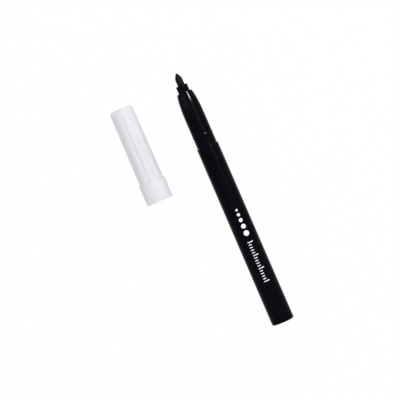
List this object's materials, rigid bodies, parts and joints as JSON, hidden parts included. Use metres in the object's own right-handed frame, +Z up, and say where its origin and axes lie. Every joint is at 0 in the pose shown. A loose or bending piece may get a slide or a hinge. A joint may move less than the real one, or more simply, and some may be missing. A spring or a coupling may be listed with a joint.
{
  "type": "felt-tip pen",
  "caption": "Felt-tip pen with its cap off beside it: tapered barrel, rounded nose, fibre nib, and a lobed cap with a wider ring at the mouth.",
  "frame": {"origin": "middle of the underside of the box round the pen and its cap, on the table they lie on", "axes": "+Y along the pen toward the nib, -X toward the cap, +Z up from the table"},
  "size_m": [0.0452, 0.1354, 0.0139],
  "materials": {
    "barrel_plastic": "satin moulded polypropylene, black",
    "nose_plastic": "satin moulded polypropylene, black",
    "plug_plastic": "satin moulded polypropylene, black",
    "nib_fibre": "bonded fibre soaked in black ink",
    "reservoir_fibre": "fibre rod soaked in black ink",
    "wrap_film": "thin clear film",
    "tube_plastic": "thin natural polyethylene tube",
    "cap_plastic": "satin moulded polypropylene, white",
    "seal_plastic": "soft natural polyethylene"
  },
  "bodies": {
    "pen": {"barrel_tube": "barrel_plastic", "nose_section": "nose_plastic", "nib": "nib_fibre", "end_plug": "plug_plastic", "ink_reservoir": "reservoir_fibre", "reservoir_wrap": "wrap_film", "breather_tube": "tube_plastic"},
    "cap": {"cap_shell": "cap_plastic", "cap_seal": "seal_plastic"}
  },
  "joints": [
    {"name": "cap_slide", "type": "slide", "parent": "pen", "child": "cap", "axis": [0.3973, 0.9177, 0], "range_m": [0, 0.0821]}
  ]
}
